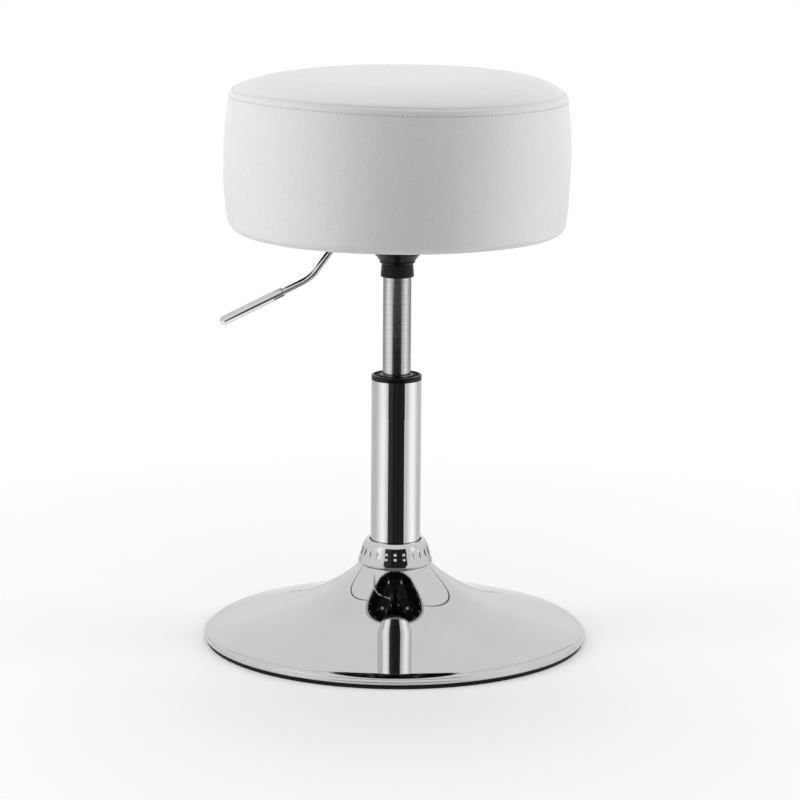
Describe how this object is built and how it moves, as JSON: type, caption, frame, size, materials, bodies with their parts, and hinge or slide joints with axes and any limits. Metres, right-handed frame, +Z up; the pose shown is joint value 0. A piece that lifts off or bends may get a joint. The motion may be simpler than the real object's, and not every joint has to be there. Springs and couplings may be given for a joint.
{
  "type": "vanity stool",
  "caption": "Round upholstered drum seat on a gas-lift column with a chromed trumpet base; swivels, rises and falls, and has a bent release lever under the seat.",
  "frame": {"origin": "centre of the base on the floor, under the lift's axis", "axes": "+Z up along the lift's axis; -X towards the release lever; -Y towards the front of the picture"},
  "size_m": [0.385, 0.385, 0.5686],
  "materials": {
    "white_leather": "white coated leather, fine grain, soft sheen",
    "chrome": "bright mirror chrome",
    "satin_steel": "satin ground steel with fine turning marks",
    "bearing_steel": "ground steel",
    "zinc_steel": "zinc plated steel",
    "black_steel": "gloss black enamel",
    "black_plastic": "moulded black plastic, semi gloss",
    "pale_plastic": "natural acetal",
    "rubber": "matte black rubber",
    "plywood": "raw plywood",
    "foam": "open-cell upholstery foam",
    "black_cloth": "black non-woven dust cloth"
  },
  "bodies": {
    "base": {"base_shell": "chrome", "floor_ring": "rubber", "ballast_plate": "black_steel", "tube_socket": "black_steel", "trim_ring": "chrome", "outer_tube": "chrome", "tube_cap": "black_plastic", "guide_sleeve": "pale_plastic", "bearing_lower_race": "bearing_steel"},
    "rod": {"piston_rod": "bearing_steel", "piston": "bearing_steel", "piston_seal": "rubber", "bearing_upper_race": "bearing_steel", "bearing_balls": "bearing_steel", "bearing_cage": "pale_plastic", "rod_washer": "zinc_steel", "rod_bumper": "rubber", "rod_clip": "zinc_steel"},
    "seat": {"gas_cylinder": "satin_steel", "rod_gland": "bearing_steel", "rod_seal": "rubber", "valve_block": "bearing_steel", "collar_ring": "black_plastic", "taper_hub": "black_steel", "bell_housing": "black_steel", "seat_plate": "black_steel", "seat_bolts": "zinc_steel", "bolt_washers": "zinc_steel", "tee_nuts": "zinc_steel", "lever_bracket": "black_steel", "lever_pin": "zinc_steel", "seat_board": "plywood", "seat_foam": "foam", "cover_top": "white_leather", "cover_band": "white_leather", "dust_cover": "black_cloth"},
    "lever": {"lever_rod": "chrome", "lever_grip": "chrome"},
    "valve": {"valve_pin": "zinc_steel"}
  },
  "joints": [
    {"name": "swivel", "type": "hinge", "parent": "base", "child": "rod", "pos_m": [0, 0, 0.0286], "axis": [0, 0, 1], "continuous": true},
    {"name": "lift", "type": "slide", "parent": "rod", "child": "seat", "axis": [0, 0, 1], "range_m": [-0.095, 0]},
    {"name": "lever_pivot", "type": "hinge", "parent": "seat", "child": "lever", "pos_m": [-0.026, 0, 0.403], "axis": [0, 1, 0], "range_deg": [0, 6], "stiffness_Nm_per_rad": 20},
    {"name": "valve_press", "type": "slide", "parent": "seat", "child": "valve", "axis": [0, 0, 1], "range_m": [-0.0028, 0]}
  ],
  "couplings": [
    {"joint": "valve_press", "follows": "lever_pivot", "m_per_rad": -0.026}
  ]
}
